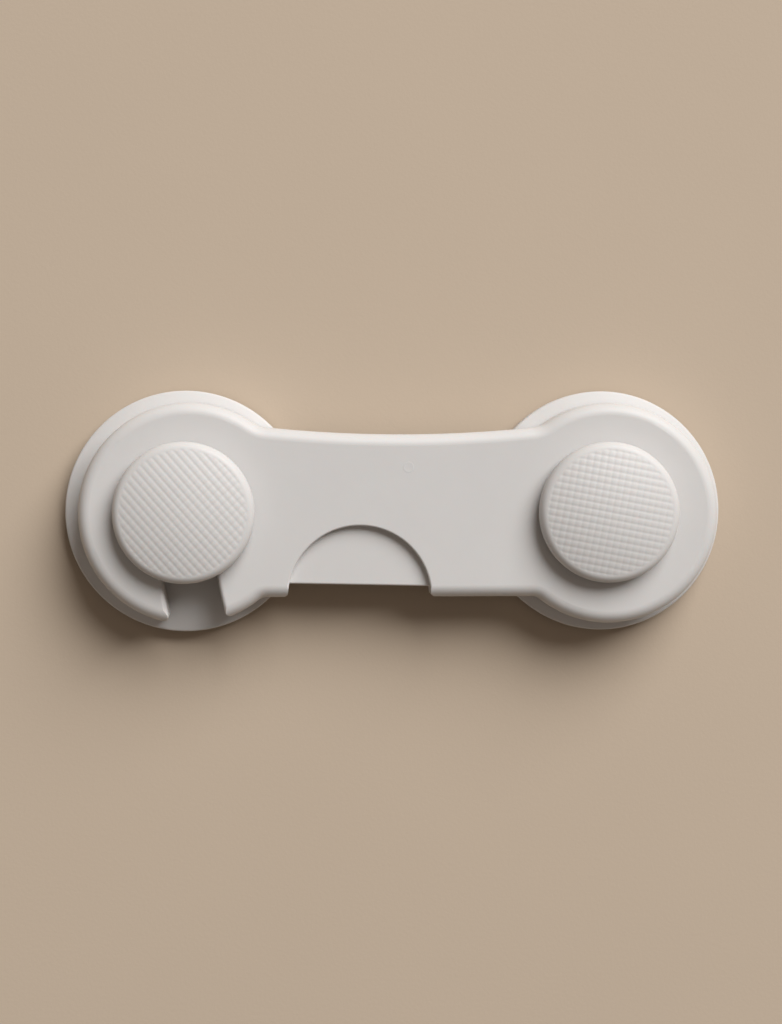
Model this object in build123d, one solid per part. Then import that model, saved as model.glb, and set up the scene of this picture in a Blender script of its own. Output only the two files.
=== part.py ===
from build123d import *
import math
import os

# Child safety latch that bridges two cupboard doors. Millimetres, +Z points away from the doors.
# The origin lies on the doors' face, midway between the two posts. The arm pivots on the right post
# and hooks over the left post.

# Layout
post_spacing = 72.7

# Running clearances
slide_clearance = 0.1
slot_clearance = 0.25
collar_clearance = 0.3
face_gap = 0.3
pin_clearance = 0.2
peg_clearance = 0.05
cap_clearance = 0.2

# Adhesive pads
pad_inset = 1.5
pad_thickness = 1.0

# Bases
base_diameter = 42.0
base_edge_radius = 0.4
base_shoulder_width = 4.5
base_shoulder_drop = 0.7
base_ledge = 1.5

# Spring plugs
plug_recess = 0.15
plug_seat_width = 0.7
pin_diameter = 3.4

# Springs
spring_wire = 0.6
spring_turns = 7
spring_clearance = 0.4

# Plungers, stepped outwards and inwards from the neck
press_travel = 0.8
neck_diameter = 8.9
neck_wall = 1.15
neck_roof = 3.0
collar_step = 1.55
flange_step = 1.7
flange_thickness = 0.7
peg_step = 1.7

# Button caps
cap_diameter = 24.1
cap_height = 4.1
cap_dome_radius = 46.0
cap_plate = 1.3
cap_skirt = 1.6
cap_boss_wall = 1.5
cap_edge_radius = 1.5
cap_lower_radius = 0.3
knurl_inset = 0.1
knurl_pitch = 1.165
knurl_groove_width = 0.55
knurl_depth = 0.15
knurl_cross_depth = 0.08
left_button_turn = -48.3
right_button_turn = -10.8

# Arm plan: round heads joined by a bar, a little off the posts
head_radius = 19.0
left_head_offset = 0.825
right_head_offset = 0.375
head_drop = 0.25
bar_top_inset = 5.4
bar_top_sag = 2.95
bar_bottom_inset = 4.65
bar_top_blend = 5.0
bar_bottom_blend = 2.4

# Arm section
arm_thickness = 7.0
arm_plate = 2.0
arm_wall = 2.0
arm_edge_radius = 2.0
rib_thickness = 1.2
rib_count = 3

# Hook mouth and finger notch
hook_tip_radius = 1.0
slot_edge_radius = 0.7
notch_radius = 12.3
notch_start = 16.85
notch_depth = 1.5
notch_floor = 1.6
notch_setback = 2.05
notch_tilt = -1.2
notch_tab_radius = 0.85
notch_edge_radius = 0.3
notch_lip_radius = 0.3

# Heights, from the doors outwards
well_depth = flange_thickness + press_travel + face_gap
base_back = pad_thickness
ledge_back = base_back + well_depth
base_face = ledge_back + base_ledge
arm_back = base_face + face_gap
arm_face = arm_back + arm_thickness
cap_back = arm_face + press_travel + cap_clearance
cap_face = cap_back + cap_height
collar_top = arm_back + press_travel - face_gap
pocket_roof = collar_top + collar_clearance
peg_top = cap_face - 2 * cap_plate - peg_clearance
spring_roof = cap_back - neck_roof
pin_top = cap_back - press_travel - face_gap

# Round sizes and bores that follow from the pieces inside them
spring_bore = neck_diameter - 2 * neck_wall
spring_diameter = spring_bore - 2 * spring_clearance
peg_diameter = neck_diameter - 2 * peg_step
collar_diameter = neck_diameter + 2 * collar_step
flange_diameter = collar_diameter + 2 * flange_step
well_diameter = flange_diameter + 2 * collar_clearance
plug_diameter = well_diameter + 2 * plug_seat_width
pad_bore = plug_diameter + 2 * face_gap
pad_diameter = base_diameter - 2 * pad_inset
slot_width = neck_diameter + 2 * slot_clearance
pocket_width = collar_diameter + 2 * collar_clearance

# The knurl stays inside the circle where the rolled edge of a cap meets its dome
dome_share = (cap_diameter / 2 - cap_edge_radius) / (cap_dome_radius - cap_edge_radius)
knurl_radius = cap_dome_radius * dome_share - knurl_inset

# Places
left_post = -post_spacing / 2
right_post = post_spacing / 2
left_head = left_post + left_head_offset
right_head = right_post + right_head_offset
bar_bottom = bar_bottom_inset - head_radius - head_drop
notch_place = Pos(left_head + notch_start + notch_radius, bar_bottom)


def disc(diameter, bottom, top):
    """Upright round solid between two heights."""
    standing = (Align.CENTER, Align.CENTER, Align.MIN)
    return Pos(0, 0, bottom) * Cylinder(diameter / 2, top - bottom, align=standing)


def raised(sketch, bottom, top):
    """Solid that stands on a plan sketch between two heights."""
    return Pos(0, 0, bottom) * extrude(sketch, top - bottom)


def rims(body, diameter):
    """Round edges of a given diameter on a turned body, from the lowest to the highest."""
    circles = body.edges().filter_by(GeomType.CIRCLE)
    return circles.filter_by(lambda edge: math.isclose(2 * edge.radius, diameter)).sort_by(Axis.Z)


def adhesive_pad():
    """Foam ring that sticks the base to its door."""
    return disc(pad_diameter, 0, pad_thickness) - disc(pad_bore, 0, pad_thickness)


def base():
    """Round base with a sloping shoulder, and a well for the plunger flange behind a ledge."""
    rim = base_diameter / 2
    brink = (rim - base_shoulder_width, base_face)
    shoulder = TangentArc(brink, (rim, base_face - base_shoulder_drop), tangent=(1, 0))
    sides = Polyline(shoulder @ 1, (rim, base_back), (0, base_back), (0, base_face), brink)
    body = revolve(Plane.XZ * make_face([shoulder, *sides.edges()]), Axis.Z)
    body = fillet(rims(body, base_diameter)[-1], base_edge_radius)
    body -= disc(well_diameter, base_back, ledge_back)
    return body - disc(collar_diameter + 2 * slide_clearance, base_back, base_face)


def spring_plug():
    """Disc that closes the well, with a pin that guides the spring."""
    return disc(plug_diameter, plug_recess, base_back) + disc(pin_diameter, plug_recess, pin_top)


def spring():
    """Helical compression spring between the plug and the roof of the plunger bore."""
    height = spring_roof - base_back - spring_wire
    radius = (spring_diameter - spring_wire) / 2
    path = Helix(pitch=height / spring_turns, height=height, radius=radius)
    section = Plane(origin=path @ 0, z_dir=path % 0) * Circle(spring_wire / 2)
    return Pos(0, 0, base_back + spring_wire / 2) * sweep(section, path=path, is_frenet=True)


def plunger():
    """Stepped post: flange under the ledge, locking collar, neck and peg, bored for the spring."""
    foot = ledge_back - flange_thickness
    body = disc(flange_diameter, foot, ledge_back)
    body += disc(collar_diameter, foot, collar_top)
    body += disc(neck_diameter, foot, cap_back)
    body += disc(peg_diameter, foot, peg_top)
    body -= disc(spring_bore, foot, spring_roof)
    return body - disc(pin_diameter + 2 * pin_clearance, foot, cap_back)


def dome(inset):
    """Ball whose top is the domed face of a cap, or lies under it by an inset."""
    return Pos(0, 0, cap_face - cap_dome_radius) * Sphere(cap_dome_radius - inset)


def knurl_grooves(angle, depth):
    """One family of parallel grooves over the textured part of a cap's dome."""
    count = int((knurl_radius - knurl_groove_width / 2) / knurl_pitch)
    window = disc(2 * knurl_radius, cap_back, cap_face) - dome(depth)
    bar = Box(knurl_groove_width, 2 * knurl_radius, 4 * cap_height)
    places = [Pos(i * knurl_pitch, 0, cap_face) for i in range(-count, count + 1)]
    return [Rot(0, 0, angle) * (place * bar & window) for place in places]


def button_cap():
    """Domed cap with a rounded edge, a cross-grooved face, a skirt and a socket for the peg."""
    body = disc(cap_diameter, cap_back, cap_face) & dome(0)
    body = fillet(rims(body, cap_diameter)[-1], cap_edge_radius)
    body = fillet(rims(body, cap_diameter)[0], cap_lower_radius)
    boss = disc(peg_diameter + 2 * cap_boss_wall, cap_back, cap_face)
    hollow = disc(cap_diameter - 2 * cap_skirt, cap_back, cap_face) & dome(cap_plate)
    body -= hollow - boss
    body -= disc(peg_diameter + 2 * peg_clearance, cap_back, peg_top + peg_clearance)
    for angle, depth in ((90, knurl_depth), (0, knurl_cross_depth)):
        body -= knurl_grooves(angle, depth)
    return body


def bar_corners(outline, side):
    """Corners between the bar and the heads, above it or below it."""
    return [v for v in outline.vertices() if left_head < v.X < right_head and v.Y * side > 0]


def arm_outline():
    """Two round heads joined by a bar whose upper edge dips between them."""
    waist = head_radius - head_drop - bar_top_inset
    shoulder = waist + bar_top_sag
    middle = (left_head + right_head) / 2
    top = ThreePointArc((left_head, shoulder), (middle, waist), (right_head, shoulder))
    sides = Polyline(top @ 1, (right_head, bar_bottom), (left_head, bar_bottom), top @ 0)
    outline = make_face([top, *sides.edges()])
    for x in (left_head, right_head):
        outline += Pos(x, -head_drop) * Circle(head_radius)
    outline = fillet(bar_corners(outline, 1), bar_top_blend)
    return fillet(bar_corners(outline, -1), bar_bottom_blend)


def hook_slot(width):
    """Slot that follows the swing of the left post about the right one, out of the head's lower edge."""
    sweep_angle = math.degrees((head_radius + width) / post_spacing)
    return SlotArc(CenterArc((right_post, 0), post_spacing, 180, sweep_angle), width)


def notch_jog():
    """Part of the notch disc below the set-back edge of its floor."""
    below = Rectangle(4 * notch_radius, 4 * notch_radius, align=(Align.CENTER, Align.MAX))
    return notch_place * (Circle(notch_radius) & Pos(0, notch_setback) * Rot(0, 0, notch_tilt) * below)


def softened(plan, edge_radius):
    """Arm-high solid over a plan, with its upper edges rounded."""
    body = raised(plan, arm_back, arm_face)
    return fillet(body.edges().group_by(Axis.Z)[-1], edge_radius)


def hook_body(outline):
    """Arm opened by the hook slot, with rounded slot edges and rounded hook tips."""
    plan = outline - hook_slot(slot_width)
    tips = [v for v in plan.vertices() if v.Y < -slot_width and abs(v.X - left_post) < slot_width]
    return softened(fillet(tips, hook_tip_radius), slot_edge_radius)


def notch_body(outline):
    """Arm opened by the whole notch disc, with rounded tabs at both ends of the notch."""
    plan = outline - notch_place * Circle(notch_radius)
    middle = notch_place.position.X
    tabs = [v for v in plan.vertices() if math.isclose(abs(v.X - middle), notch_radius)]
    return softened(fillet(tabs, notch_tab_radius), notch_edge_radius)


def notch_floor_plate(outline):
    """Wall and floor of the finger notch, set back from the arm's lower edge."""
    plan = (outline & notch_place * Circle(notch_radius)) - notch_jog()
    body = raised(plan, arm_back, arm_face - notch_depth)
    lip = body.edges().group_by(Axis.Z)[-1].filter_by(GeomType.LINE)
    return fillet(lip, notch_lip_radius)


def arm_cavity(outline):
    """Hollow underside between the walls, the pivot hub, the hook channel and the cross ribs."""
    plan = offset(outline - notch_jog() - hook_slot(pocket_width), -arm_wall)
    plan -= Pos(right_post, 0) * Circle(pocket_width / 2 + arm_wall)
    for i in range(rib_count):
        x = left_post + (i + 1) * post_spacing / (rib_count + 1)
        plan -= Pos(x, 0) * Rectangle(rib_thickness, 4 * head_radius)
    cavity = raised(plan, arm_back, arm_face - arm_plate)
    floor_back = arm_face - notch_depth - notch_floor
    return cavity - notch_place * disc(2 * (notch_radius + arm_wall), floor_back, arm_face)


def latch_arm():
    """Moulded arm: rounded outer edge, hook slot, finger notch, pivot hole and hollow underside."""
    outline = arm_outline()
    body = softened(outline, arm_edge_radius) & hook_body(outline) & notch_body(outline)
    body += notch_floor_plate(outline)
    body -= arm_cavity(outline)
    body -= raised(hook_slot(pocket_width), arm_back, pocket_roof)
    pivot = Pos(right_post, 0)
    body -= pivot * disc(pocket_width, arm_back, pocket_roof)
    return body - pivot * disc(neck_diameter + 2 * slide_clearance, arm_back, arm_face)


def save(solid, name):
    """Write one piece of the latch."""
    export_step(solid, os.path.join("parts", name + ".step"))


os.makedirs("parts", exist_ok=True)
save(latch_arm(), "latch_arm")
unit = {
    "adhesive_pad": adhesive_pad(),
    "base": base(),
    "spring_plug": spring_plug(),
    "spring": spring(),
    "plunger": plunger(),
    "button_cap": button_cap(),
}
for side, x, turn in (("left", left_post, left_button_turn), ("right", right_post, right_button_turn)):
    for name, solid in unit.items():
        save(Pos(x, 0) * Rot(0, 0, turn) * solid, f"{side}_{name}")
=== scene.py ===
"""Child safety latch: finishes, knurled buttons, springs, floor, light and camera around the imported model.

Everything is in metres in the part's own frame: +X along the arm, +Y up the doors, +Z away from them.
"""
import math

import bpy
import numpy as np
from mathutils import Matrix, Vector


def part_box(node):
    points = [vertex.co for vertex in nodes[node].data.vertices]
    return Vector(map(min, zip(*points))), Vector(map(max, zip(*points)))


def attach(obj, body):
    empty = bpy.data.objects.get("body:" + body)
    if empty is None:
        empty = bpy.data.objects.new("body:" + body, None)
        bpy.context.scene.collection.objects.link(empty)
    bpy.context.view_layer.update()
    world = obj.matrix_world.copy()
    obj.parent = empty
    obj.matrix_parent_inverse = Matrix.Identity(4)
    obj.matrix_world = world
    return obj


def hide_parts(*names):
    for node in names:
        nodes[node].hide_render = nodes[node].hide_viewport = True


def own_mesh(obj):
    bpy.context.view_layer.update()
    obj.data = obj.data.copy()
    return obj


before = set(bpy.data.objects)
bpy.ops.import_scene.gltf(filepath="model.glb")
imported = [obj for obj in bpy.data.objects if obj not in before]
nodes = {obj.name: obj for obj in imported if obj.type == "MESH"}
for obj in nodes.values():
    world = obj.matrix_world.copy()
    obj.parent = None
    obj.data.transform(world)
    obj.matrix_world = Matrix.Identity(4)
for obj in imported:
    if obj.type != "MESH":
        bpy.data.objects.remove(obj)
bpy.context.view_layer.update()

MM = 0.001
SMOOTH_ANGLE = 40.0

# Button caps
CAP_HEIGHT = 4.1 * MM
CAP_DOME = 46.0 * MM
CAP_EDGE = 1.5 * MM
CAP_LOWER_EDGE = 0.3 * MM
CAP_PLATE = 1.3 * MM
CAP_SKIRT = 1.6 * MM
CAP_BOSS = 4.25 * MM
CAP_SOCKET = 2.8 * MM
CAP_SOCKET_ROOF = 1.5 * MM
CAP_EDGE_STEPS = 16
CAP_LOWER_EDGE_STEPS = 6
CAP_CEILING_STEPS = 12
CAP_TURNS = 560
KNURL_RADIUS = 10.9 * MM
KNURL_FADE = 0.35 * MM
KNURL_PITCH = 1.165 * MM
KNURL_RIDGE_DEPTH = 0.036 * MM
KNURL_CROSS_DEPTH = 0.030 * MM
KNURL_TURN = {"left": -48.3, "right": -10.8}
GROOVE_MEAN = 0.375
DOME_RINGS = 104

# Springs under the caps
SPRING_WIRE = 0.6 * MM
SPRING_TURNS = 7
SPRING_STEPS = 48
SPRING_SIDES = 14

# Mark left by the moulding gate on the face of the arm
GATE_PLACE = (2.0 * MM, 7.7 * MM)
GATE_RADIUS = 0.85 * MM
GATE_HEIGHT = 0.022 * MM
GATE_MIDDLE = 0.25
GATE_SLOPE = 0.30 * MM
GATE_ROOT = 0.8 * MM
GATE_STEPS = 9
GATE_TURNS = 48

# Camera, from the parallax of the buttons over the bases
CAMERA_PLACE = (-0.0184, 0.0101, 0.3627)
CAMERA_AIM = (-0.0006, -0.0002, 0.0034)
CAMERA_LENS = 72.15
CAMERA_FILM = 36.0
CAMERA_NEAR = 0.01

# Studio light
KEY_AZIMUTH = 57.0
KEY_ELEVATION = 39.0
KEY_DISTANCE = 4.0
KEY_WIDTH = 3.25
KEY_POWER = 212.0
FILL_LEVEL = 0.14
FILL_COLOUR = (1.0, 0.86, 0.75)

# Floor
FLOOR_REACH = 2.0
FLOOR_DROP = 0.05 * MM

# Finishes
PLASTIC_WHITE = (0.668, 0.652, 0.639)
PLASTIC_INDEX = 1.49
PLASTIC_SPREAD = 0.045
ARM_GRAIN = 0.012 * MM
CAP_GRAIN = 0.010 * MM
SINK_WAVES = 0.03 * MM
GLOW_SHARE = 0.15
GLOW_DEPTH = 0.5 * MM
GLOW_SPREAD = (1.0, 0.55, 0.40)
FLOOR_PALE = (0.56, 0.455, 0.350)
FLOOR_SPREAD = 0.02
FLOOR_GRAIN = 0.02 * MM
BACKDROP_PALE = (0.50, 0.43, 0.36)
FOAM_GREY = (0.62, 0.62, 0.60)
FOAM_CELLS = 0.09 * MM
STEEL_DULL = (0.44, 0.44, 0.43)
STEEL_BRIGHT = (0.60, 0.60, 0.58)


class Value:
    """A number that varies over a surface; arithmetic on it adds Math nodes."""

    def __init__(self, paint, socket):
        self.paint = paint
        self.socket = socket

    def _math(self, operation, first, second):
        return self.paint.node("ShaderNodeMath", {"operation": operation}, {0: first, 1: second})

    def __add__(self, other):
        return self._math("ADD", self, other)

    __radd__ = __add__

    def __rsub__(self, other):
        return self._math("SUBTRACT", other, self)

    def __mul__(self, other):
        return self._math("MULTIPLY", self, other)


class Paint:
    """The node tree of one finish, or of the world, and the node that the tree feeds."""

    def __init__(self, owner, shader="Principled BSDF"):
        owner.use_nodes = True
        self.owner = owner
        self.tree = owner.node_tree
        self.shader = self.tree.nodes[shader]

    def node(self, kind, settings, sockets, output=0):
        """Add a node: first its settings, then the values or links of its sockets."""
        node = self.tree.nodes.new(kind)
        for name, value in settings.items():
            setattr(node, name, value)
        for name, value in sockets.items():
            self.plug(node.inputs[name], value)
        return Value(self, node.outputs[output])

    def plug(self, socket, value):
        """Link a varying value to a socket, or set a plain one on it."""
        if isinstance(value, Value):
            self.tree.links.new(value.socket, socket)
        else:
            socket.default_value = value

    def finish(self, **sockets):
        """Feed the shader's sockets and return the finish."""
        for name, value in sockets.items():
            self.plug(self.shader.inputs[name.replace("_", " ")], value)
        return self.owner

    def millimetres(self):
        """Object coordinates in millimetres."""
        place = self.node("ShaderNodeTexCoord", {}, {}, output="Object")
        return self.node("ShaderNodeVectorMath", {"operation": "SCALE"}, {0: place, "Scale": 1 / MM})

    def noise(self, place, per_mm, detail, roughness=0.5):
        """Cloudy value about 0.5, with so many clouds to the millimetre and so many finer layers."""
        sockets = {"Vector": place, "Scale": per_mm, "Detail": detail, "Roughness": roughness}
        return self.node("ShaderNodeTexNoise", {}, sockets)

    def mix(self, factor, first, second):
        """Colour between two colours."""
        sockets = {"Factor": factor, 6: first, 7: second}
        return self.node("ShaderNodeMix", {"data_type": "RGBA"}, sockets, output=2)

    def bump(self, height, distance, below=None):
        """Surface normal pushed by a height, on top of another bump if there is one."""
        sockets = {"Height": height, "Distance": distance, "Strength": 1.0}
        if below is not None:
            sockets["Normal"] = below
        return self.node("ShaderNodeBump", {}, sockets)


def rgba(colour, factor=1.0):
    """Opaque colour, made lighter or darker by a factor."""
    return tuple(channel * factor for channel in colour) + (1.0,)


def moulded_plastic(name, grain):
    """Satin white plastic: slow drifts of tone and gloss, a fine eroded grain and faint sink waves."""
    paint = Paint(bpy.data.materials.new(name))
    place = paint.millimetres()
    drift = paint.noise(place, per_mm=0.05, detail=3.0)
    patches = paint.noise(place, per_mm=0.35, detail=4.0, roughness=0.6)
    fine = paint.noise(place, per_mm=7.0, detail=3.0, roughness=0.65)
    waves = paint.noise(place, per_mm=0.11, detail=1.0)
    tone = drift * 0.6 + patches * 0.25 + fine * 0.15
    colour = paint.mix(tone, rgba(PLASTIC_WHITE, 1 - PLASTIC_SPREAD), rgba(PLASTIC_WHITE, 1 + PLASTIC_SPREAD))
    roughness = 0.40 + patches * 0.10 + fine * 0.08
    slow = paint.bump(waves, SINK_WAVES)
    normal = paint.bump(fine, grain, below=slow)
    return paint.finish(
        Base_Color=colour, Roughness=roughness, Normal=normal, IOR=PLASTIC_INDEX,
        Subsurface_Weight=GLOW_SHARE, Subsurface_Radius=GLOW_SPREAD, Subsurface_Scale=GLOW_DEPTH)


def foam_tape():
    """Closed-cell foam: small round cells in a soft grey-white body."""
    paint = Paint(bpy.data.materials.new("foam_tape"))
    place = paint.millimetres()
    cells = paint.node("ShaderNodeTexVoronoi", {"feature": "SMOOTH_F1"},
                       {"Vector": place, "Scale": 3.2, "Smoothness": 0.35})
    fine = paint.noise(place, per_mm=5.0, detail=3.0)
    tone = cells * 0.8 + fine * 0.3
    colour = paint.mix(tone, rgba(FOAM_GREY, 0.8), rgba(FOAM_GREY, 1.1))
    normal = paint.bump(cells, FOAM_CELLS)
    return paint.finish(Base_Color=colour, Roughness=0.85 - fine * 0.1, Normal=normal)


def spring_steel():
    """Bright drawn wire with fine cloudy variation."""
    paint = Paint(bpy.data.materials.new("spring_steel"))
    place = paint.millimetres()
    cloud = paint.noise(place, per_mm=6.0, detail=4.0, roughness=0.7)
    colour = paint.mix(cloud, rgba(STEEL_DULL), rgba(STEEL_BRIGHT))
    return paint.finish(Base_Color=colour, Metallic=1.0, Roughness=0.22 + cloud * 0.2)


def pale_floor():
    """Plain pale painted floor."""
    paint = Paint(bpy.data.materials.new("pale_floor"))
    place = paint.millimetres()
    cloud = paint.noise(place, per_mm=0.02, detail=3.0)
    fine = paint.noise(place, per_mm=1.6, detail=4.0, roughness=0.6)
    colour = paint.mix(cloud, rgba(FLOOR_PALE, 1 - FLOOR_SPREAD), rgba(FLOOR_PALE, 1 + FLOOR_SPREAD))
    normal = paint.bump(fine, FLOOR_GRAIN)
    return paint.finish(Base_Color=colour, Roughness=0.8, Normal=normal, Specular_IOR_Level=0.25)


def mesh_piece(name, points, faces, material):
    """Object at the origin whose mesh holds the given points and faces, smooth but for its sharp edges."""
    mesh = bpy.data.meshes.new(name)
    mesh.from_pydata(points, [], faces)
    mesh.validate()
    mesh.polygons.foreach_set("use_smooth", np.ones(len(mesh.polygons), bool))
    mesh.set_sharp_from_angle(angle=math.radians(SMOOTH_ANGLE))
    mesh.materials.append(material)
    piece = bpy.data.objects.new(name, mesh)
    bpy.context.scene.collection.objects.link(piece)
    return piece


def ringed_piece(name, rings, sides, material):
    """Closed object through rings of points, where point (i, j) is point j of ring i.

    Only the first point of the first and of the last ring is used, as the two ends. Neighbouring rings
    are joined by a band of quads, or by a fan of triangles at an end.
    """
    points = np.concatenate([rings[0][:1], *rings[1:-1], rings[-1][:1]])
    j = np.arange(sides)
    k = (j + 1) % sides
    first = 1 + np.arange(len(rings) - 3)[:, None] * sides
    bands = np.stack([first + j, first + sides + j, first + sides + k, first + k], axis=-1).reshape(-1, 4)
    last = 1 + (len(rings) - 3) * sides
    top = np.stack([np.zeros(sides, int), 1 + j, 1 + k], axis=-1)
    foot = np.stack([last + k, last + j, np.full(sides, len(points) - 1)], axis=-1)
    return mesh_piece(name, points.tolist(), top.tolist() + bands.tolist() + foot.tolist(), material)


def spun(profile, turns):
    """Rings of a turned profile: each of its points (r, z) goes once round the axis, in equal steps."""
    angles = np.linspace(0, 2 * np.pi, turns, endpoint=False)
    radius, height = profile[:, :1], np.repeat(profile[:, 1:], turns, axis=1)
    return np.stack([radius * np.cos(angles), radius * np.sin(angles), height], axis=-1)


def arc(centre_r, centre_z, radius, start, stop, steps):
    """Points of a rounding in the profile plane, from one angle to another in degrees."""
    angles = np.radians(np.linspace(start, stop, steps))
    return np.column_stack([centre_r + radius * np.cos(angles), centre_z + radius * np.sin(angles)])


def groove(distance):
    """Depth share of parallel grooves across them: a raised cosine squared, less its mean."""
    return (0.5 + 0.5 * np.cos(2 * np.pi * distance / KNURL_PITCH)) ** 2 - GROOVE_MEAN


def knurl(x, y, turn):
    """Depth of the cross-grooved face: long waves one way, shallower cuts across them, faded at the rim."""
    c, s = math.cos(math.radians(turn)), math.sin(math.radians(turn))
    along, across = c * x + s * y, c * y - s * x
    depth = KNURL_RIDGE_DEPTH * groove(across) + KNURL_CROSS_DEPTH * groove(along)
    return depth * np.clip((KNURL_RADIUS - np.hypot(x, y)) / KNURL_FADE, 0.0, 1.0)


def cap_skirt_profile(radius, low, ball):
    """Section of a cap below its dome: rolled edge, wall, lower edge, skirt, ceiling, boss and socket.

    With it comes the angle in radians, at the middle of the ball, from the dome's top to the rolled edge.
    """
    hub = math.sqrt((CAP_DOME - CAP_EDGE) ** 2 - (radius - CAP_EDGE) ** 2)
    lean = math.degrees(math.asin((radius - CAP_EDGE) / (CAP_DOME - CAP_EDGE)))
    edge = arc(radius - CAP_EDGE, ball + hub, CAP_EDGE, 90 - lean, 0, CAP_EDGE_STEPS)
    lower = arc(radius - CAP_LOWER_EDGE, low + CAP_LOWER_EDGE, CAP_LOWER_EDGE, 0, -90, CAP_LOWER_EDGE_STEPS)
    ceiling = np.linspace(radius - CAP_SKIRT, CAP_BOSS, CAP_CEILING_STEPS)
    ceiling = np.column_stack([ceiling, ball + np.sqrt((CAP_DOME - CAP_PLATE) ** 2 - ceiling ** 2)])
    roof = low + CAP_SOCKET_ROOF
    boss = [(CAP_BOSS, low), (CAP_SOCKET, low), (CAP_SOCKET, roof), (0.0, roof)]
    return np.concatenate([edge[1:], lower, [(radius - CAP_SKIRT, low)], ceiling, boss]), math.radians(lean)


def button_cap(side, material):
    """Knurled cap: a ball's top, sunk by the knurl's depth along the ball's radius, on a turned skirt."""
    low, high = (np.array(corner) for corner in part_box(f"{side}_button_cap"))
    middle = (low + high) / 2
    ball = low[2] + CAP_HEIGHT - CAP_DOME
    skirt, lean = cap_skirt_profile((high[0] - low[0]) / 2, low[2], ball)
    tilt = np.linspace(0, lean, DOME_RINGS)
    top = spun(CAP_DOME * np.column_stack([np.sin(tilt), np.cos(tilt)]), CAP_TURNS)
    sunk = 1 - knurl(top[..., 0], top[..., 1], KNURL_TURN[side]) / CAP_DOME
    dome = top * sunk[..., None] + (0.0, 0.0, ball)
    rings = np.concatenate([dome, spun(skirt, CAP_TURNS)]) + (middle[0], middle[1], 0.0)
    piece = ringed_piece(f"{side}_knurled_cap", rings, CAP_TURNS, material)
    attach(piece, f"{side}_button")
    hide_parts(f"{side}_button_cap")


def coil_spring(side, material):
    """Round wire along a helix: circles across the path, joined by bands, with a fan over each end.

    Point (i, j) is path point i plus half the wire times (cos u outwards + sin u across), where across is
    the outward direction crossed with the path's own. The coil starts at the turn of its cap's knurl.
    """
    low, high = (np.array(corner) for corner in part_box(f"{side}_spring"))
    middle = (low + high) / 2
    radius = (high[0] - low[0] - SPRING_WIRE) / 2
    turn = np.linspace(0, 2 * np.pi * SPRING_TURNS, SPRING_TURNS * SPRING_STEPS + 1)
    angle = turn + math.radians(KNURL_TURN[side])
    rise = (high[2] - low[2] - SPRING_WIRE) / turn[-1]
    outward = np.stack([np.cos(angle), np.sin(angle), np.zeros_like(angle)], axis=-1)
    along = np.stack([-radius * np.sin(angle), radius * np.cos(angle), np.full_like(angle, rise)], axis=-1)
    across = np.cross(outward, along / np.linalg.norm(along, axis=1, keepdims=True))
    start = (middle[0], middle[1], low[2] + SPRING_WIRE / 2)
    path = start + radius * outward + np.outer(rise * turn, (0, 0, 1))
    round_angle = np.linspace(0, 2 * np.pi, SPRING_SIDES, endpoint=False)[:, None]
    section = np.cos(round_angle) * outward[:, None] + np.sin(round_angle) * across[:, None]
    rings = path[:, None] + SPRING_WIRE / 2 * section
    piece = ringed_piece(f"{side}_coil_spring", [path[:1], *rings, path[-1:]], SPRING_SIDES, material)
    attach(piece, "bases")
    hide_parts(f"{side}_spring")
    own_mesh(piece)


def gate_mark(material):
    """Dished pip left by the moulding gate: its height grows with the square of the radius up to a rim.

    Outside the rim it slopes down to just below the arm's face, and a root inside the arm closes it.
    """
    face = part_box("latch_arm")[1][2]
    inside = np.linspace(0, 1, GATE_STEPS)
    height = GATE_HEIGHT * (GATE_MIDDLE + (1 - GATE_MIDDLE) * inside ** 2)
    dish = np.column_stack([GATE_RADIUS * inside, face + height])
    skirt, foot = GATE_RADIUS + GATE_SLOPE, face - GATE_ROOT
    profile = np.concatenate([dish, [(skirt, face - GATE_HEIGHT), (skirt, foot), (0.0, foot)]])
    rings = spun(profile, GATE_TURNS) + (*GATE_PLACE, 0.0)
    piece = ringed_piece("gate_mark", rings, GATE_TURNS, material)
    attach(piece, "arm")


def placed(name, data, place, aim):
    """Lamp or camera at a place with its view along the line to the aim, +Y up in its picture."""
    thing = bpy.data.objects.new(name, data)
    bpy.context.scene.collection.objects.link(thing)
    place, aim = np.array(place), np.array(aim)
    back = (place - aim) / np.linalg.norm(place - aim)
    right = np.cross((0.0, 1.0, 0.0), back)
    right /= np.linalg.norm(right)
    up = np.cross(back, right)
    matrix = np.eye(4)
    matrix[:3, 0], matrix[:3, 1], matrix[:3, 2], matrix[:3, 3] = right, up, back, place
    thing.matrix_world = matrix.T.tolist()
    return thing


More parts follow.
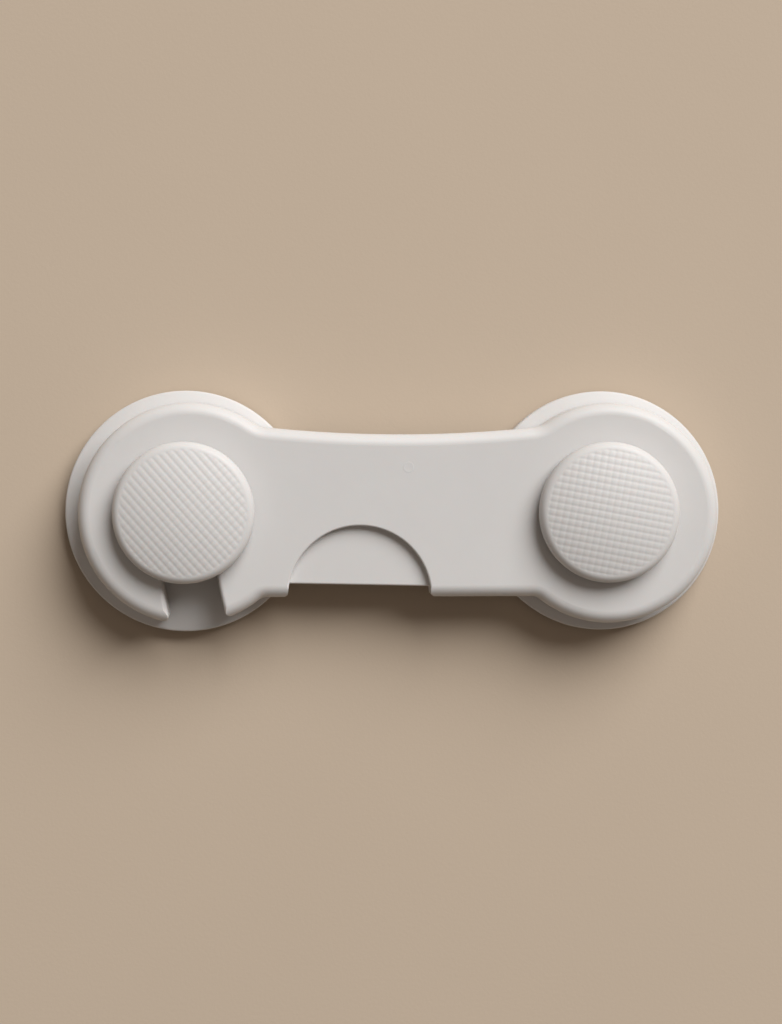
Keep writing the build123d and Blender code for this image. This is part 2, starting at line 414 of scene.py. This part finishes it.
def surroundings():
    """Dim even fill on the object, with a pale backdrop for the eye and for reflections."""
    paint = Paint(bpy.data.worlds.new("studio"), "World Output")
    seen = sum(paint.node("ShaderNodeLightPath", {}, {}, output=f"Is {kind} Ray")
               for kind in ("Camera", "Glossy", "Transmission"))
    fill = paint.node("ShaderNodeBackground", {}, {"Color": rgba(FILL_COLOUR), "Strength": FILL_LEVEL})
    backdrop = paint.node("ShaderNodeBackground", {}, {"Color": rgba(BACKDROP_PALE)})
    return paint.finish(Surface=paint.node("ShaderNodeMixShader", {}, {0: seen, 1: fill, 2: backdrop}))


def studio():
    """Pale floor, one broad key light from the upper right, and the surroundings."""
    signs = ((-1, -1), (1, -1), (1, 1), (-1, 1))
    corners = [(x * FLOOR_REACH, y * FLOOR_REACH, -FLOOR_DROP) for x, y in signs]
    floor = mesh_piece("floor", corners, [(0, 1, 2, 3)], pale_floor())
    key = bpy.data.lights.new("key", "AREA")
    key.shape = "DISK"
    key.size = KEY_WIDTH
    key.energy = KEY_POWER
    azimuth, elevation = math.radians(KEY_AZIMUTH), math.radians(KEY_ELEVATION)
    level = math.cos(elevation)
    direction = np.array([level * math.cos(azimuth), level * math.sin(azimuth), math.sin(elevation)])
    placed("key", key, direction * KEY_DISTANCE, (0, 0, 0))
    bpy.context.scene.world = surroundings()


def camera():
    """Camera at the photograph's viewing angle."""
    data = bpy.data.cameras.new("camera")
    data.sensor_fit = "VERTICAL"
    data.sensor_height = CAMERA_FILM
    data.lens = CAMERA_LENS
    data.clip_start = CAMERA_NEAR
    bpy.context.scene.camera = placed("camera", data, CAMERA_PLACE, CAMERA_AIM)


def dress(material, *names):
    """Give CAD nodes a finish."""
    for name in names:
        mesh = nodes[name].data
        mesh.materials.clear()
        mesh.materials.append(material)


arm_plastic = moulded_plastic("arm_plastic", ARM_GRAIN)
base_plastic = moulded_plastic("base_plastic", ARM_GRAIN)
cap_plastic = moulded_plastic("cap_plastic", CAP_GRAIN)
tape = foam_tape()
wire = spring_steel()
dress(arm_plastic, "latch_arm")
for side in ("left", "right"):
    dress(base_plastic, f"{side}_base", f"{side}_spring_plug", f"{side}_plunger")
    dress(tape, f"{side}_adhesive_pad")
    coil_spring(side, wire)
    button_cap(side, cap_plastic)
gate_mark(arm_plastic)

studio()
camera()
bpy.context.scene.view_settings.view_transform = "Standard"
